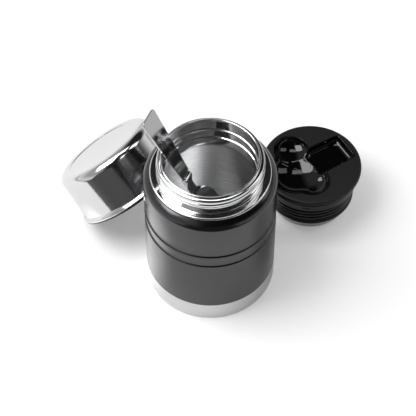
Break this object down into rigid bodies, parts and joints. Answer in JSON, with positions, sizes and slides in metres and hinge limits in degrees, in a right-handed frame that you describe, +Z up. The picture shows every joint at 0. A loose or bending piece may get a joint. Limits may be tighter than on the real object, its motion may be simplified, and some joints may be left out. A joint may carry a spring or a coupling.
{
  "type": "insulated food jar",
  "caption": "Vacuum food jar with its screw stopper, screw-on cup and folding spoon taken off; the spoon stands in the mouth.",
  "frame": {"origin": "centre of the jar's standing ring, on the surface it stands on", "axes": "+Z up along the jar's axis, +X towards the stopper's side, -Y towards the viewer of the picture"},
  "size_m": [0.2245, 0.1481, 0.158],
  "materials": {
    "body_paint": "satin",
    "polished_steel": "polished",
    "liner_steel": "satin",
    "brushed_band": "satin",
    "plain_steel": "satin",
    "copper_foil": "polished",
    "getter_metal": "matte",
    "stopper_satin": "satin",
    "tray_gloss": "gloss",
    "foam": "matte",
    "gasket_silicone": "matte",
    "cup_steel": "polished",
    "ring_plastic": "gloss",
    "spoon_steel": "polished"
  },
  "bodies": {
    "jar": {"body_shell": "body_paint", "neck_ring": "polished_steel", "liner": "liner_steel", "reflector_foil": "copper_foil", "vacuum_plate": "plain_steel", "getter": "getter_metal", "base_cup": "brushed_band"},
    "stopper": {"stopper_cap": "stopper_satin", "spoon_tray": "tray_gloss", "stopper_body": "stopper_satin", "stopper_foam": "foam", "stopper_gasket": "gasket_silicone", "stopper_base": "polished_steel"},
    "cup": {"cup_shell": "cup_steel", "cup_thread_ring": "ring_plastic"},
    "spoon": {"spoon_bowl": "spoon_steel", "spoon_rivet": "spoon_steel"},
    "handle": {"spoon_handle": "spoon_steel"}
  },
  "joints": [
    {"name": "stopper_lift", "type": "slide", "parent": "jar", "child": "stopper", "axis": [0, 0, 1], "range_m": [0, 0.15]},
    {"name": "cup_lift", "type": "slide", "parent": "jar", "child": "cup", "axis": [-0.5641, 0.4344, 0.7022], "range_m": [0, 0.15]},
    {"name": "spoon_lift", "type": "slide", "parent": "jar", "child": "spoon", "axis": [0, 0, 1], "range_m": [0, 0.095]},
    {"name": "spoon_fold", "type": "hinge", "parent": "spoon", "child": "handle", "pos_m": [-0.01652, 0.00386, 0.10212], "axis": [0.4094, 0.9116, 0.0377], "range_deg": [0, 80]}
  ]
}
